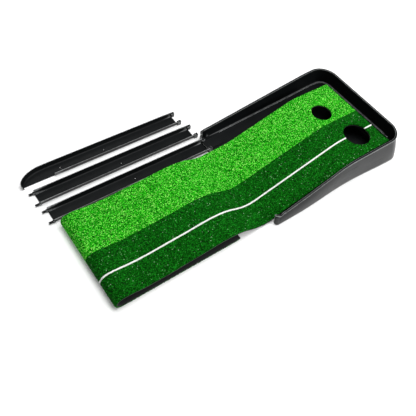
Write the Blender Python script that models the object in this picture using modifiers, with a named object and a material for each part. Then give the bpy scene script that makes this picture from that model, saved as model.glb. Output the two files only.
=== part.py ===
import math

import bmesh
import bpy
from mathutils import Matrix, Vector

# Practice putting mat: a black moulded frame that raises the turf to two cups and returns
# the ball down its left side, a two-tone turf folded under at the player's end, and three
# lengths of return rail. Metres. +X runs from the player to the cups, +Y to the return
# rails, +Z up from the floor. The turf's centre line is y = 0 while the pieces are made.

# Clearances
gap = 0.0003
drop_in = 0.0008

# Turf
turf_width = 0.300
turf_far = 1.008
backing_thickness = 0.0022
pile_thickness = 0.0055
light_share = 0.483
line_inset = 0.080
line_width = 0.0055
fold_end = 0.413
fold_height = 0.036

# Cups
large_cup_distance, large_cup_inset = 0.931, 0.073
large_cup_radius = 0.045
small_cup_distance, small_cup_inset = 0.895, 0.095
small_cup_radius = 0.035
cup_margin = 0.0012

# Deck
deck_height = 0.102
deck_thickness = 0.0025
deck_far = 1.003
toe_height = 0.0075
toe_place = 0.500
ramp_foot = 0.5203
ramp_slope = 0.288
foot_radius = 0.12
crest_radius = 0.20
skirt_start = 0.575
post_radius = 0.0045
deck_post_inset = 0.032
wall_post_height = 0.046
post_bite = 0.0007

# Feet, pan and screws
pad_height = 0.003
pad_radius = 0.008
pan_thickness = 0.0022
screw_length = 0.011
screw_radius = 0.0015
head_radius = 0.0035
head_height = 0.0014

# Frame wall, at its base and at its rim
wall_thickness = 0.0025
wall_bottom = 0.0012
right_margin = 0.020
left_margin = 0.079
base_far = 1.108
lean_right, lean_far, lean_left = 0.0135, 0.041, 0.0065
base_corner, rim_corner = 0.045, 0.0565
waist_start, waist_end, waist_depth = 0.620, 1.080, 0.009
rim_height = 0.1145
near_right, near_left = 0.541, 0.535
near_rim_right, near_rim_left = 0.047, 0.040
near_slope = 0.22
nose_radius = 0.0078
right_return, left_return = 0.004, 0.0005
nose_drop, return_drop = 0.006, 0.004
right_lead = 0.034
left_slope, left_crest = 0.166, 0.988
lip_width = 0.0042
lip_drop = 0.0032

# Gutter and ball chute
ball_diameter = 0.0427
gutter_width = 0.0695
gutter_outlet = 0.0082
gutter_slope = 0.0889
gutter_cross_slope = 0.012
gutter_thickness = 0.0022
gutter_far_inset = 0.004
cheek_height = 0.005
cheek_length = 0.060
chute_start = 0.866
chute_outlet = 0.0458
chute_slope = 0.022
chute_wall_height = 0.026
chute_thickness = 0.002
chute_leg_inset = 0.012

# Rails
rail_width = 0.050
rail_draft = 0.004
rail_height = 0.0175
rail_thickness = 0.0022
rail_length = 0.568
prong_length = 0.0165
prong_root = 0.004
prong_low, prong_high = 0.0030, 0.0083
prong_outer, prong_inner = 0.0018, 0.0059
root_swell = 0.0010
lug_length = 0.009
lug_height = 0.0150
lug_floor_share = 1.6
slot_side, slot_top = 0.0004, 0.0005
lug_outer, lug_inner = -0.0006, 0.0082
floor_cut_back = 0.0115
peg_hole_radius = 0.0018
first_rail_far, first_rail_offset = 0.5445, 0.0685
second_rail_far, second_rail_offset = 0.5385, 0.1420
end_rail_far, end_rail_offset = 0.523, 0.2175
end_rail_length = 0.560
end_curve_length = 0.085
end_opening = 0.105

# Hook strips
strip_thickness = 0.0010
strip_width = 0.014
strip_inset = 0.008
ramp_strip_place = 0.700

pan_bottom = pad_height + gap
pan_top = pan_bottom + pan_thickness
turf_thickness = backing_thickness + gap + pile_thickness
turf_left = turf_width / 2
turf_right = -turf_width / 2
band_split = turf_left - light_share * turf_width
line_place = turf_right + line_inset
large_cup_place = (large_cup_distance, turf_right + large_cup_inset)
small_cup_place = (small_cup_distance, turf_left - small_cup_inset)
base_right = turf_right - right_margin
base_left = turf_left + left_margin
gutter_left = turf_left + gutter_width
first_rail_left = turf_left + first_rail_offset
second_rail_left = turf_left + second_rail_offset
end_rail_left = turf_left + end_rail_offset
strip_half = turf_left - strip_inset
ramp_crest = ramp_foot + (deck_height - toe_height) / ramp_slope
ramp_angle = math.atan(ramp_slope)


def collection(name):
    made = bpy.data.collections.new(name)
    bpy.context.scene.collection.children.link(made)
    return made


for old in list(bpy.data.objects):
    bpy.data.objects.remove(old, do_unlink=True)
parts = collection("Putting mat")
cutters = collection("Putting mat cutters")
root = bpy.data.objects.new("putting_mat", None)
parts.objects.link(root)


def material(name, colour, roughness, metallic=0.0):
    made = bpy.data.materials.new(name)
    made.use_nodes = True
    shader = made.node_tree.nodes["Principled BSDF"]
    shader.inputs["Base Color"].default_value = (*colour, 1)
    shader.inputs["Roughness"].default_value = roughness
    shader.inputs["Metallic"].default_value = metallic
    return made


black_plastic = material("Black plastic", (0.012, 0.013, 0.014), 0.35)
rubber = material("Rubber", (0.02, 0.02, 0.02), 0.8)
steel = material("Zinc-plated steel", (0.6, 0.6, 0.6), 0.35, 1.0)
hook_tape = material("Hook tape", (0.03, 0.03, 0.03), 0.9)
backing_rubber = material("Turf backing", (0.03, 0.03, 0.03), 0.85)
light_green = material("Light green pile", (0.10, 0.47, 0.02), 0.9)
deep_green = material("Deep green pile", (0.005, 0.11, 0.01), 0.9)
white_yarn = material("White pile", (0.8, 0.8, 0.78), 0.85)


# Solids

def add(name, bm, surface=None):
    bmesh.ops.recalc_face_normals(bm, faces=bm.faces)
    mesh = bpy.data.meshes.new(name)
    bm.to_mesh(mesh)
    bm.free()
    made = bpy.data.objects.new(name, mesh)
    made.parent = root
    if surface:
        mesh.materials.append(surface)
        parts.objects.link(made)
    else:
        made.hide_render = True
        made.display_type = "WIRE"
        cutters.objects.link(made)
    return made


def block(name, low, high, surface=None, turn=0.0):
    # turn tips the block about the y axis through its centre.
    bm = bmesh.new()
    bmesh.ops.create_cube(bm, size=1)
    size = [b - a for a, b in zip(low, high)]
    middle = [(a + b) / 2 for a, b in zip(low, high)]
    bmesh.ops.scale(bm, vec=size, verts=bm.verts)
    bmesh.ops.rotate(bm, matrix=Matrix.Rotation(turn, 3, "Y"), verts=bm.verts)
    bmesh.ops.translate(bm, vec=middle, verts=bm.verts)
    return add(name, bm, surface)


def cylinder(name, place, low, high, radius, sides=16, surface=None):
    bm = bmesh.new()
    depth = high - low
    bmesh.ops.create_cone(bm, cap_ends=True, segments=sides, radius1=radius, radius2=radius, depth=depth)
    bmesh.ops.translate(bm, vec=(place[0], place[1], (low + high) / 2), verts=bm.verts)
    return add(name, bm, surface)


def loft(name, lower, low, upper, high, surface=None):
    # A closed block between two outlines with the same number of points.
    bm = bmesh.new()
    floor = bm.faces.new([bm.verts.new((x, y, low)) for x, y in lower])
    raised = bmesh.ops.extrude_face_region(bm, geom=[floor])["geom"]
    corners = [v for v in raised if isinstance(v, bmesh.types.BMVert)]
    for corner in corners:
        match = min(range(len(lower)), key=lambda i: (corner.co.xy - Vector(lower[i])).length)
        corner.co = (*upper[match], high)
    return add(name, bm, surface)


def side_prism(name, outline, right, left, surface=None):
    # An outline in x and z, extruded across the mat.
    bm = bmesh.new()
    face = bm.faces.new([bm.verts.new((x, right, z)) for x, z in outline])
    raised = bmesh.ops.extrude_face_region(bm, geom=[face])["geom"]
    moved = [v for v in raised if isinstance(v, bmesh.types.BMVert)]
    bmesh.ops.translate(bm, vec=(0, left - right, 0), verts=moved)
    return add(name, bm, surface)


def boolean(target, tool, operation):
    step = target.modifiers.new(operation.title(), "BOOLEAN")
    step.operation = operation
    step.object = tool
    step.solver = "EXACT"


def cut(target, *tools):
    for tool in tools:
        boolean(target, tool, "DIFFERENCE")


def fuse(target, *tools):
    for tool in tools:
        boolean(target, tool, "UNION")


def solidify(target, thickness, offset, even=True):
    step = target.modifiers.new("Thickness", "SOLIDIFY")
    step.thickness = thickness
    step.offset = offset
    step.use_even_offset = even


def turned(name, profile, place, surface, steps=20):
    bm = bmesh.new()
    points = [bm.verts.new((radius, 0, z)) for radius, z in profile]
    for a, b in zip(points, points[1:]):
        bm.edges.new((a, b))
    made = add(name, bm, surface)
    made.location = (*place, 0)
    step = made.modifiers.new("Turn", "SCREW")
    step.steps = steps
    step.render_steps = steps
    step.use_merge_vertices = True
    step.merge_threshold = 0.00005
    return made


# Paths

def rounded(corners, radii, steps=8):
    # A polyline whose inner corners are arcs of the given radii.
    points = [Vector(p) for p in corners]
    path = [points[0]]
    for before, corner, after, radius in zip(points, points[1:], points[2:], radii):
        inward, outward = (before - corner).normalized(), (after - corner).normalized()
        half = inward.angle(outward) / 2
        centre = corner + (inward + outward).normalized() * radius / math.sin(half)
        first = corner + inward * radius / math.tan(half) - centre
        sweep = first.angle_signed(corner + outward * radius / math.tan(half) - centre)
        for k in range(steps + 1):
            path.append(centre + Matrix.Rotation(-sweep * k / steps, 2) @ first)
    return path + [points[-1]]


def smooth(points, spacing=0.012):
    # A curve through the points, with tangents weighted by the distance between them.
    points = [Vector(p) for p in points]
    times = [0.0]
    for a, b in zip(points, points[1:]):
        times.append(times[-1] + math.sqrt((b - a).length))
    last = len(points) - 1
    slopes = []
    for i in range(last + 1):
        low, high = max(i - 1, 0), min(i + 1, last)
        slopes.append((points[high] - points[low]) / (times[high] - times[low]))
    path = []
    for i in range(last):
        span = times[i + 1] - times[i]
        count = max(1, round((points[i + 1] - points[i]).length / spacing))
        for k in range(count):
            t = k / count
            start = (1 + 2 * t) * (1 - t) ** 2 * points[i] + t * (1 - t) ** 2 * span * slopes[i]
            end = t * t * (3 - 2 * t) * points[i + 1] + t * t * (t - 1) * span * slopes[i + 1]
            path.append(start + end)
    return path + [points[-1]]


def offset_path(path, distance):
    # The path moved to its right-hand side, so up when it runs towards the player.
    moved = []
    for i, point in enumerate(path):
        before = (point - path[max(i - 1, 0)]).normalized()
        after = (path[min(i + 1, len(path) - 1)] - point).normalized()
        along = (before + after).normalized()
        side = Vector((along.y, -along.x))
        spread = max(along.dot(after), along.dot(before), 0.5)
        moved.append(point + side * distance / spread)
    return moved


def strip(name, path, right, left, thickness, surface):
    # A path in x and z, swept across the mat and thickened to its right-hand side.
    bm = bmesh.new()
    rows = [[bm.verts.new((p.x, y, p.y)) for p in path] for y in (right, left)]
    for i in range(len(path) - 1):
        bm.faces.new((rows[0][i], rows[0][i + 1], rows[1][i + 1], rows[1][i]))
    made = add(name, bm, surface)
    made.data.update()
    up = made.data.polygons[0].normal.z > 0
    solidify(made, thickness, 1.0 if up else -1.0)
    return made


deck_corners = [(deck_far, deck_height), (ramp_crest, deck_height)]
deck_corners += [(ramp_foot, toe_height), (toe_place, toe_height)]
deck_path = rounded(deck_corners, [crest_radius, foot_radius])


def deck_at(x):
    for a, b in zip(deck_path, deck_path[1:]):
        if b.x <= x <= a.x:
            return b.y + (a.y - b.y) * (x - b.x) / (a.x - b.x)
    return deck_height


# The turf's underside: along the deck, over the floor, round the fold and back beneath.
floor_lie = turf_thickness + gap
nose = 0.008
turf_free = [
    (0.492, 0.0090), (0.472, 0.0140), (0.451, 0.0222), (0.430, 0.0318), (0.408, 0.0392),
    (0.370, 0.0450), (0.320, 0.0440), (0.280, 0.0400), (0.220, 0.0365), (0.155, 0.0322),
    (0.095, 0.0330), (0.060, 0.0380), (0.030, fold_height + 0.0045),
    (nose + 0.0060, fold_height - 0.001), (nose, 0.62 * fold_height + 0.001),
    (nose + 0.0045, floor_lie + 0.0065), (nose + 0.017, floor_lie + 0.001),
    (nose + 0.045, floor_lie), (0.150, floor_lie), (0.280, floor_lie),
    (fold_end - 0.023, floor_lie), (fold_end, floor_lie + 0.0022),
]
turf_on_deck = [Vector((turf_far, deck_height + gap))]
turf_on_deck += [Vector((p.x, p.y + gap * 1.3)) for p in deck_path[:-1]]
turf_path = turf_on_deck[:-1] + smooth([turf_on_deck[-1]] + turf_free)


def cup_cutter(name, place, radius, sides):
    low = chute_outlet + ball_diameter
    return cylinder(name, place, low, deck_height + 3 * turf_thickness, radius, sides)


def turf():
    pile_path = offset_path(turf_path, backing_thickness + gap)
    line_left = line_place + line_width / 2
    line_right = line_place - line_width / 2
    large = cup_cutter("Large cup in turf", large_cup_place, large_cup_radius, 36)
    small = cup_cutter("Small cup in turf", small_cup_place, small_cup_radius, 32)

    backing = strip("turf_backing", turf_path, turf_right, turf_left, backing_thickness, backing_rubber)
    cut(backing, large, small)

    light = strip("light_band", pile_path, band_split + gap / 2, turf_left, pile_thickness, light_green)
    cut(light, small)

    inner_edges = (line_left + gap, band_split - gap / 2)
    inner = strip("dark_band_inner", pile_path, *inner_edges, pile_thickness, deep_green)
    cut(inner, large)

    outer = strip("dark_band_outer", pile_path, turf_right, line_right - gap, pile_thickness, deep_green)
    cut(outer, large)

    # The cup interrupts the line, which leaves a short length beyond it.
    middle = large_cup_place[0]
    joint = Vector((middle, pile_path[0].y))
    beyond = [p for p in pile_path if p.x > middle and p.y > deck_height] + [joint]
    before = [joint] + [p for p in pile_path if p.x < middle]
    for name, path in (("white_line", before), ("white_line_far", beyond)):
        line = strip(name, path, line_right, line_left, pile_thickness, white_yarn)
        cut(line, large)


# Screws go up through the pan into posts.
deck_post_rows = (turf_right + deck_post_inset, turf_left - deck_post_inset)
deck_posts = [(x, y) for x in (0.610, 0.725, 0.838) for y in deck_post_rows]
post_share = wall_post_height / rim_height


def waist(x, share):
    # The right wall's foot draws in gently between two places, and its rim stays straight.
    if not waist_start < x < waist_end:
        return 0.0
    along = (x - waist_start) / (waist_end - waist_start)
    return waist_depth * (1 - share) * math.sin(math.pi * along) ** 2


def beside_right(x):
    return x, base_right + lean_right * post_share + waist(x, post_share) + post_radius - post_bite


beside_far = base_far - lean_far * post_share - post_radius + post_bite
wall_posts = [
    beside_right(0.640),
    beside_right(0.900),
    (beside_far, turf_right + 0.065),
    (beside_far, turf_left - 0.035),
]


def drill(name, place, top):
    return cylinder(name, place, pan_bottom - gap, top, screw_radius + gap, 12)


def screws():
    for number, place in enumerate(deck_posts + wall_posts, 1):
        head_top = pan_bottom - gap
        profile = [
            (0, head_top + screw_length),
            (screw_radius, head_top + screw_length - screw_radius),
            (screw_radius, head_top),
            (head_radius, head_top),
            (head_radius * 0.8, head_top - head_height),
            (0, head_top - head_height),
        ]
        turned(f"screw_{number}", profile, place, steel, 12)


def deck():
    panel = strip("deck", deck_path, turf_right, turf_left, deck_thickness, black_plastic)
    thickness = panel.modifiers["Thickness"]
    thickness.offset = -thickness.offset

    # The skirts stand a hair inside the panel's edges, so that no two faces coincide.
    inside = deck_thickness / 2
    edge = gap / 2
    foot = pan_top + gap
    span = [p for p in deck_path if skirt_start < p.x < deck_far]
    skirt = [(deck_far - inside, deck_height - inside)]
    skirt += [(p.x, p.y - inside) for p in span]
    skirt += [(skirt_start, deck_at(skirt_start) - inside), (skirt_start, foot)]
    skirt += [(deck_far - inside, foot)]
    left = side_prism("Left skirt", skirt, turf_left - deck_thickness, turf_left - edge)
    right = side_prism("Right skirt", skirt, turf_right + edge, turf_right + deck_thickness)
    far = block(
        "Far skirt",
        (deck_far - deck_thickness, turf_right + 2 * edge, foot + edge),
        (deck_far - edge, turf_left - 2 * edge, deck_height - inside - edge),
    )
    fuse(panel, left, right, far)
    for number, place in enumerate(deck_posts, 1):
        top = deck_at(place[0]) - inside
        fuse(panel, cylinder(f"Deck post {number}", place, pan_top + gap, top, post_radius))
    for number, place in enumerate(deck_posts, 1):
        cut(panel, drill(f"Deck drill {number}", place, pan_bottom + screw_length + 2 * gap))

    cut(panel, cup_cutter("Large cup in deck", large_cup_place, large_cup_radius + cup_margin, 36))
    cut(panel, cup_cutter("Small cup in deck", small_cup_place, small_cup_radius + cup_margin, 32))
    window_low = chute_outlet - chute_thickness - gap
    window_high = chute_outlet + ball_diameter + 0.003
    window_far = deck_far - 2 * deck_thickness - chute_thickness
    window = block(
        "Chute window",
        (chute_start + chute_thickness, turf_left - 3 * deck_thickness, window_low),
        (window_far, turf_left + deck_thickness, window_high),
    )
    cut(panel, window)

    # Shallow pockets hold the two strips of hook tape that grip the turf.
    for name, place, height, turn in strip_places():
        size = (strip_width / 2 + gap, strip_half + gap, strip_thickness + gap)
        low = (place - size[0], -size[1], height - size[2])
        high = (place + size[0], size[1], height + size[2])
        cut(panel, block(f"Pocket for {name}", low, high, turn=turn))


def strip_places():
    far_place = deck_far - strip_width / 2 - deck_thickness
    return (
        ("hook_strip_far", far_place, deck_height, 0.0),
        ("hook_strip_ramp", ramp_strip_place, deck_at(ramp_strip_place), -ramp_angle),
    )


def hook_strips():
    for name, place, height, turn in strip_places():
        low = (-strip_width / 2, -strip_half, -strip_thickness)
        high = (strip_width / 2, strip_half, 0)
        tape = block(name, low, high, hook_tape)
        tape.location = (place, 0, height)
        tape.rotation_euler = (0, turn, 0)


def wall_outline(height):
    # The wall's path at a height, from its right near end round the far end to its left.
    share = height / rim_height
    right = base_right + lean_right * share
    far = base_far - lean_far * share
    left = base_left - lean_left * share
    corner = base_corner + (rim_corner - base_corner) * share
    return right, far, left, corner


def wall_stations():
    # Each station is a side, a place along it and, on an arc, the angle round it.
    angles = [math.radians(angle) for angle in range(0, 91, 15)]
    start, end = near_right + nose_radius, base_far - lean_far - rim_corner
    stations = [("right return", right_return)]
    stations += [("right nose", angle) for angle in angles]
    stations += [("right", start + (end - start) * k / 15) for k in range(1, 15)]
    stations += [("right corner", angle) for angle in angles]
    stations += [("far", s / 4) for s in range(1, 4)]
    stations += [("left corner", angle) for angle in angles]
    start = near_left + nose_radius
    stations += [("left", start + (end - start) * k / 15) for k in range(14, 0, -1)]
    stations += [("left nose", angle) for angle in reversed(angles)]
    return stations + [("left return", left_return)]


def rim_at(side, place):
    # Both long rims slope down to the player, the right one less steeply near its end, and
    # drop a little round the blunt noses.
    near_rim = near_rim_right if side.startswith("right") else near_rim_left
    if side == "right":
        line = rim_height - ramp_slope * (ramp_crest - right_lead - place)
        line = max(line, near_rim + near_slope * (place - near_right))
    elif side == "left":
        line = rim_height - left_slope * (left_crest - place)
    elif side.endswith("nose"):
        return near_rim - nose_drop * (1 - math.sin(place)) ** 2
    elif side.endswith("return"):
        return near_rim - nose_drop - return_drop
    else:
        return rim_height
    return max(near_rim, min(rim_height, line))


def wall_point(side, place, height):
    # The point on the wall at a height, and the direction out of the frame there.
    right, far, left, corner = wall_outline(height)
    near, turn = (near_right, -1) if side.startswith("right") else (near_left, 1)
    edge = right if side.startswith("right") else left
    if side.endswith("return"):
        return Vector((near, edge - turn * (nose_radius + place), height)), Vector((-1, 0, 0))
    if side.endswith("nose"):
        outward = Vector((-math.cos(place), turn * math.sin(place), 0))
        centre = Vector((near + nose_radius, edge - turn * nose_radius, height))
        return centre + nose_radius * outward, outward
    if side == "right":
        edge += waist(place, height / rim_height)
        return Vector((place, edge, height)), Vector((0, -1, 0))
    if side == "left":
        return Vector((place, left, height)), Vector((0, 1, 0))
    if side == "far":
        y = (right + corner) + (left - right - 2 * corner) * place
        return Vector((far, y, height)), Vector((1, 0, 0))
    angle = -math.pi / 2 + place if side == "right corner" else place
    outward = Vector((math.cos(angle), math.sin(angle), 0))
    y = right + corner if side == "right corner" else left - corner
    return Vector((far - corner, y, height)) + corner * outward, outward


def frame_wall():
    bm = bmesh.new()
    columns = []
    for side, place in wall_stations():
        rim = rim_at(side, place)
        column = []
        for share in (0, 0.5, 1):
            height = wall_bottom + (rim - wall_bottom) * share
            column.append(wall_point(side, place, height)[0])
        outward = wall_point(side, place, rim)[1]
        column.append(column[-1] + outward * lip_width)
        column.append(column[-1] - Vector((0, 0, lip_drop)))
        columns.append([bm.verts.new(point) for point in column])
    for a, b in zip(columns, columns[1:]):
        for k in range(len(a) - 1):
            bm.faces.new((a[k], b[k], b[k + 1], a[k + 1]))
    wall = add("frame_wall", bm, black_plastic)
    solidify(wall, wall_thickness, 0, even=False)
    for number, place in enumerate(wall_posts, 1):
        fuse(wall, cylinder(f"Wall post {number}", place, pan_top + gap, wall_post_height, post_radius))
    for number, place in enumerate(wall_posts, 1):
        cut(wall, drill(f"Wall drill {number}", place, pan_bottom + screw_length + 2 * gap))


def inside_wall(height, near):
    # The outline that fits inside the wall at a height, from a near edge to the far end.
    right, far, left, corner = wall_outline(height)
    clear = wall_thickness / 2 + drop_in
    right, far, left = right + clear, far - clear, left - clear
    radii = [corner - clear, corner - clear]
    path = rounded([(near, right), (far, right), (far, left), (near, left)], radii)
    along = [near + (path[1].x - near) * k / 15 for k in range(15)]
    share = height / rim_height
    return [(x, right + waist(x, share)) for x in along] + [(p.x, p.y) for p in path[1:]]


def base_pan():
    near = near_right + nose_radius + 2 * drop_in
    lower = inside_wall(pan_bottom, near)
    upper = inside_wall(pan_top, near)
    pan = loft("base_pan", lower, pan_bottom, upper, pan_top, black_plastic)
    for number, place in enumerate(deck_posts + wall_posts, 1):
        cut(pan, drill(f"Pan drill {number}", place, pan_top + gap))


def feet():
    number = 0
    for x in (near_right + 0.030, 0.800, base_far - 0.045):
        for y in (base_right + 0.032, base_left - 0.032):
            number += 1
            profile = [
                (0, pad_height),
                (pad_radius, pad_height),
                (pad_radius, 0.0008),
                (pad_radius - 0.0008, 0),
                (0, 0),
            ]
            turned(f"foot_{number}", profile, (x, y), rubber)


gutter_near = first_rail_far - floor_cut_back + 2 * gap
gutter_mouth = first_rail_far + drop_in


def gutter_floor(x, y):
    rise = gutter_slope * (min(x, turf_far) - gutter_near)
    return gutter_outlet + rise + gutter_cross_slope * (gutter_left - y)


def gutter():
    # A sloping floor down the left side, fed by a second one behind the cups.
    inner = turf_left + 2 * gap
    back = base_far
    outer = base_left
    bm = bmesh.new()
    xs = [gutter_near, (gutter_near + turf_far) / 2, deck_far + 2 * gap, turf_far, back]
    left_leg = [[bm.verts.new((x, y, gutter_floor(x, y))) for y in (inner, outer)] for x in xs]
    for a, b in zip(left_leg, left_leg[1:]):
        bm.faces.new((a[0], b[0], b[1], a[1]))
    behind = [left_leg[2][0], left_leg[3][0], left_leg[4][0]]
    side = turf_right + gutter_far_inset
    beyond = [bm.verts.new((x, side, gutter_floor(x, side))) for x in xs[2:]]
    for k in range(2):
        bm.faces.new((behind[k], beyond[k], beyond[k + 1], behind[k + 1]))
    floor = add("gutter", bm, black_plastic)
    floor.data.update()
    solidify(floor, gutter_thickness, -1 if floor.data.polygons[0].normal.z > 0 else 1)

    # Its edge and far corners follow the frame's.
    start = gutter_near - 0.01
    lower, upper = inside_wall(0, start), inside_wall(rim_height, start)
    inside = loft("Inside of frame", lower, 0, upper, rim_height)
    boolean(floor, inside, "INTERSECT")

    # Its near end is notched round the first rail's lugs, and two cheeks with prongs plug into them.
    first_right = first_rail_left - rail_width
    for side, edge, inward in (("right", first_right, 1), ("left", first_rail_left, -1)):
        lug_edge = edge + inward * (lug_inner + drop_in)
        outside = edge - inward * 0.03
        notch_low = (gutter_near - 0.01, min(lug_edge, outside), -0.01)
        notch_high = (gutter_mouth, max(lug_edge, outside), 0.05)
        cut(floor, block(f"Notch {side}", notch_low, notch_high))
        low_edge, high_edge = sorted((edge + inward * prong_outer, edge + inward * prong_inner))
        end = gutter_mouth + cheek_length
        middle = (low_edge + high_edge) / 2
        cheek = [
            (gutter_mouth + gap, prong_low - gap / 2),
            (gutter_mouth + gap, gutter_outlet + cheek_height),
            (end, gutter_floor(end, middle) + gap),
            (end, gutter_floor(end, middle) - gutter_thickness / 2),
            (gutter_mouth + prong_root, gutter_floor(gutter_mouth, middle) - gutter_thickness / 2),
            (gutter_mouth + prong_root, prong_low - gap / 2),
        ]
        fuse(floor, side_prism(f"Cheek {side}", cheek, low_edge - gap / 2, high_edge + gap / 2))
        prong_low_corner = (first_rail_far - lug_length + drop_in, low_edge, prong_low)
        prong_high_corner = (gutter_mouth + prong_root / 2, high_edge, prong_high)
        fuse(floor, block(f"Cheek prong {side}", prong_low_corner, prong_high_corner))


def ball_chute():
    # A tray under the cups, open towards the gutter.
    low_side, high_side = turf_left - deck_thickness - gap, turf_right + deck_thickness + gap
    near, far = chute_start, deck_far - deck_thickness - gap
    bm = bmesh.new()
    bmesh.ops.create_cube(bm, size=1)
    for corner in bm.verts:
        x = near if corner.co.x < 0 else far
        y = high_side if corner.co.y < 0 else low_side
        floor = chute_outlet + chute_slope * (low_side - y) - chute_thickness
        corner.co = (x, y, floor if corner.co.z < 0 else floor + chute_wall_height)
    bmesh.ops.recalc_face_normals(bm, faces=bm.faces)
    open_sides = [f for f in bm.faces if f.normal.z > 0.9 or f.normal.y > 0.9]
    bmesh.ops.delete(bm, geom=open_sides, context="FACES")
    tray = add("ball_chute", bm, black_plastic)
    tray.data.update()
    bottom = min(tray.data.polygons, key=lambda f: f.center.z)
    solidify(tray, chute_thickness, 1 if bottom.normal.z > 0 else -1)
    ends = (near + chute_leg_inset, far - chute_leg_inset)
    sides = (turf_right + 2 * chute_leg_inset, turf_left - 2 * chute_leg_inset)
    for number, place in enumerate([(x, y) for x in ends for y in sides], 1):
        top = chute_outlet + chute_slope * (low_side - place[1]) - chute_thickness / 2
        fuse(tray, cylinder(f"Chute leg {number}", place, pan_top + gap, top, post_radius))


def straight_outline(near, far, right, left):
    return [(near, right), (far, right), (far, left), (near, left)]


def curved_outline(near, far, right, left, length):
    # The left side sweeps round to the right one in a quarter ellipse.
    arc = []
    for k in range(13):
        turn = math.pi / 2 * (1 + k / 12)
        arc.append((near + length + length * math.cos(turn), right + (left - right) * math.sin(turn)))
    return [(far, right), (far, left)] + arc


def lugs(rail, far, right, left):
    # Sockets at the far end, thicker than the walls, with the floor cut back between them.
    floor_cut = block(
        f"{rail.name} floor cut",
        (far - floor_cut_back, right + lug_inner - gap, -0.01),
        (far + 0.01, left - lug_inner + gap, 0.03),
    )
    wall_cut = block(
        f"{rail.name} wall cut",
        (far - lug_length, right - 0.01, -0.01),
        (far + 0.01, left + 0.01, 0.03),
    )
    cut(rail, floor_cut, wall_cut)
    for side, edge, inward in (("right", right, 1), ("left", left, -1)):
        low_edge, high_edge = sorted((edge + inward * lug_outer, edge + inward * lug_inner))
        low = (far - lug_floor_share * lug_length, low_edge, gap)
        fuse(rail, block(f"{rail.name} {side} lug", low, (far, high_edge, lug_height)))
        slot_edges = (prong_outer - slot_side, prong_inner + slot_side)
        low_edge, high_edge = sorted(edge + inward * reach for reach in slot_edges)
        low = (far - lug_length, low_edge, prong_low - drop_in)
        cut(rail, block(f"{rail.name} {side} slot", low, (far + 0.01, high_edge, prong_high + slot_top)))


def prongs(rail, near, right, left):
    # Two low prongs run on beyond the floor, each from a slightly thicker root.
    for side, edge, inward in (("right", right, 1), ("left", left, -1)):
        low_edge, high_edge = sorted((edge + inward * prong_outer, edge + inward * prong_inner))
        low = (near, low_edge, prong_low)
        high = (near + prong_length + prong_root, high_edge, prong_high)
        fuse(rail, block(f"{rail.name} {side} prong", low, high))
        low = (near + prong_length - prong_root, low_edge - root_swell, prong_low - root_swell)
        high = (near + prong_length + prong_root / 2, high_edge + root_swell, prong_high + root_swell)
        fuse(rail, block(f"{rail.name} {side} prong root", low, high))


def peg_holes(rail, places, middle):
    for number, x in enumerate(places, 1):
        cut(rail, cylinder(f"{rail.name} hole {number}", (x, middle), -0.01, 0.01, peg_hole_radius, 16))


def trough(name, outer_low, outer_high, inner_low, inner_high):
    rail = loft(name, outer_low, 0.0, outer_high, rail_height, black_plastic)
    clear = 2 * rail_height
    rise = (clear - rail_thickness) / (rail_height - rail_thickness)
    inner_clear = [Vector(low).lerp(Vector(high), rise) for low, high in zip(inner_low, inner_high)]
    cut(rail, loft(f"{name} hollow", inner_low, rail_thickness, inner_clear, clear))
    return rail


def straight_rail(name, far, left):
    near, right = far - rail_length, left - rail_width
    start = near + prong_length
    wall = rail_thickness
    hollow_slope = rail_draft * (1 - rail_thickness / rail_height)
    outer_low = straight_outline(start, far, right + rail_draft, left - rail_draft)
    outer_high = straight_outline(start, far, right, left)
    ends = (start - 0.01, far + 0.01)
    inner_low = straight_outline(*ends, right + wall + hollow_slope, left - wall - hollow_slope)
    inner_high = straight_outline(*ends, right + wall, left - wall)
    rail = trough(name, outer_low, outer_high, inner_low, inner_high)
    prongs(rail, near, right, left)
    lugs(rail, far, right, left)
    peg_holes(rail, [(start + far) / 2], (left + right) / 2)


def end_rail():
    far, left = end_rail_far, end_rail_left
    near, right = far - end_rail_length, left - rail_width
    wall, slope = rail_thickness, rail_draft
    length, inset = end_curve_length, wall + slope * (1 - wall / rail_height)
    outer_low = curved_outline(near + slope, far, right + slope, left - slope, length)
    outer_high = curved_outline(near, far, right, left, length)
    inner_low = curved_outline(near + inset, far + 0.01, right + inset, left - inset, length - inset)
    inner_high = curved_outline(near + wall, far + 0.01, right + wall, left - wall, length - wall)
    rail = trough("end_rail", outer_low, outer_high, inner_low, inner_high)
    exit_low = (near - 0.01, right - 0.01, rail_thickness)
    exit_high = (near + end_opening, right + 0.012, 0.03)
    cut(rail, block("Ball exit", exit_low, exit_high))
    lugs(rail, far, right, left)
    peg_holes(rail, [near + 1.25 * end_opening, (near + far) / 2], (left + right) / 2)


def centre_on_origin():
    # The origin is the middle of the whole model's footprint, on the floor.
    bpy.context.view_layer.update()
    depsgraph = bpy.context.evaluated_depsgraph_get()
    low, high = Vector((9, 9, 9)), Vector((-9, -9, -9))
    for part in parts.objects:
        if part.type != "MESH":
            continue
        shape = part.evaluated_get(depsgraph)
        for corner in shape.to_mesh().vertices:
            place = shape.matrix_world @ corner.co
            low = Vector(map(min, low, place))
            high = Vector(map(max, high, place))
        shape.to_mesh_clear()
    middle = (low + high) / 2
    root.location = (-middle.x, -middle.y, -low.z)


turf()
deck()
hook_strips()
frame_wall()
base_pan()
gutter()
ball_chute()
screws()
feet()
straight_rail("rail_1", first_rail_far, first_rail_left)
straight_rail("rail_2", second_rail_far, second_rail_left)
end_rail()
centre_on_origin()
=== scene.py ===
import math

import bmesh
import bpy
import numpy as np
from mathutils import Matrix, Vector, noise


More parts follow.
